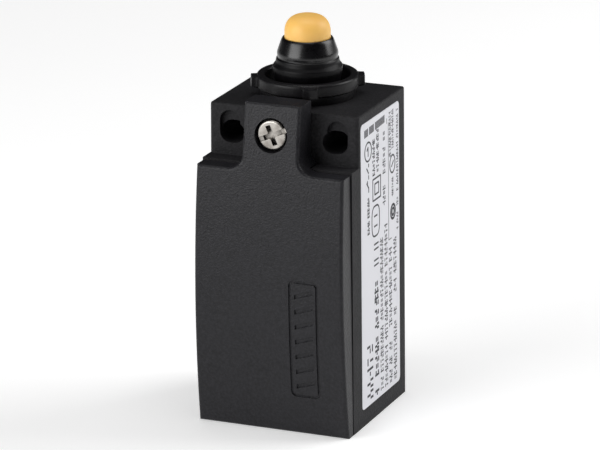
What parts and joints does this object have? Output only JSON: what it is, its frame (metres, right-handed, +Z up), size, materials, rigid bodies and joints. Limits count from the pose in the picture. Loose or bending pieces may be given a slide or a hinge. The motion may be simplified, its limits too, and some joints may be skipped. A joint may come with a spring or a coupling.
{
  "type": "limit switch",
  "caption": "Compact black plunger limit switch with a screwed T-shaped front cover, slotted fixing ears, bayonet collar, rubber boot, yellow plunger and threaded cable entry.",
  "frame": {"origin": "centre of the underside of the bounding box", "axes": "+Z up along the plunger, -Y towards the front cover, +X towards the rating label"},
  "size_m": [0.031, 0.0322, 0.0777],
  "materials": {
    "housing_plastic": "fine moulded texture, black glass-filled polyamide",
    "cover_plastic": "fine moulded texture, black glass-filled polyamide",
    "collar_plastic": "smooth matt black",
    "boot_rubber": "glossy black moulded rubber",
    "seal_rubber": "matt black rubber",
    "cap_plastic": "satin yellow thermoplastic",
    "natural_plastic": "natural white bearing plastic",
    "block_plastic": "grey thermoset",
    "lid_plastic": "light grey thermoplastic",
    "label_film": "satin white film with grey print",
    "zinc_steel": "zinc-plated steel",
    "brass": "turned brass",
    "copper_strip": "tinned copper alloy strip",
    "spring_steel": "stainless spring steel",
    "silver": "silver alloy"
  },
  "bodies": {
    "housing": {"cage_clamp_11": "spring_steel", "cage_clamp_12": "spring_steel", "cage_clamp_21": "spring_steel", "cage_clamp_22": "spring_steel", "contact_block_body": "block_plastic", "contact_block_lid": "lid_plastic", "contact_spring_front": "spring_steel", "contact_spring_rear": "spring_steel", "contact_tip_11": "silver", "contact_tip_12": "silver", "contact_tip_21": "silver", "contact_tip_22": "silver", "cover_seal": "seal_rubber", "fixed_contact_11": "copper_strip", "fixed_contact_12": "copper_strip", "fixed_contact_21": "copper_strip", "fixed_contact_22": "copper_strip", "head_collar": "collar_plastic", "housing_base": "housing_plastic", "plunger_boot": "boot_rubber", "plunger_guide": "natural_plastic", "rating_label": "label_film", "return_spring": "spring_steel", "screw_insert": "brass"},
    "cover": {"front_cover": "cover_plastic", "screw_retainer": "natural_plastic", "screw_seal_ring": "seal_rubber"},
    "cover_screw": {"cover_screw": "zinc_steel"},
    "plunger": {"plunger_cap": "cap_plastic", "plunger_stem": "natural_plastic", "contact_slider": "natural_plastic"},
    "bridge_front": {"contact_bridge_front": "copper_strip", "bridge_tips_front": "silver"},
    "bridge_rear": {"contact_bridge_rear": "copper_strip", "bridge_tips_rear": "silver"}
  },
  "joints": [
    {"name": "plunger_slide", "type": "slide", "parent": "housing", "child": "plunger", "axis": [0, 0, -1], "range_m": [0, 0.0055], "stiffness_N_per_m": 1500, "springref_m": -0.003, "deforming": ["return_spring", "plunger_boot"]},
    {"name": "bridge_front_slide", "type": "slide", "parent": "housing", "child": "bridge_front", "axis": [0, 0, -1], "range_m": [0, 0.0036], "deforming": ["contact_spring_front"]},
    {"name": "bridge_rear_slide", "type": "slide", "parent": "housing", "child": "bridge_rear", "axis": [0, 0, -1], "range_m": [0, 0.0036], "deforming": ["contact_spring_rear"]},
    {"name": "cover_lift_off", "type": "slide", "parent": "housing", "child": "cover", "axis": [0, -1, 0], "range_m": [0, 0.045]},
    {"name": "cover_screw_turn", "type": "hinge", "parent": "cover", "child": "cover_screw", "pos_m": [0, -0.014, 0.0585], "axis": [0, -1, 0], "continuous": true}
  ],
  "couplings": [
    {"joint": "bridge_front_slide", "follows": "plunger_slide", "ratio": 0.65},
    {"joint": "bridge_rear_slide", "follows": "plunger_slide", "ratio": 0.65}
  ]
}
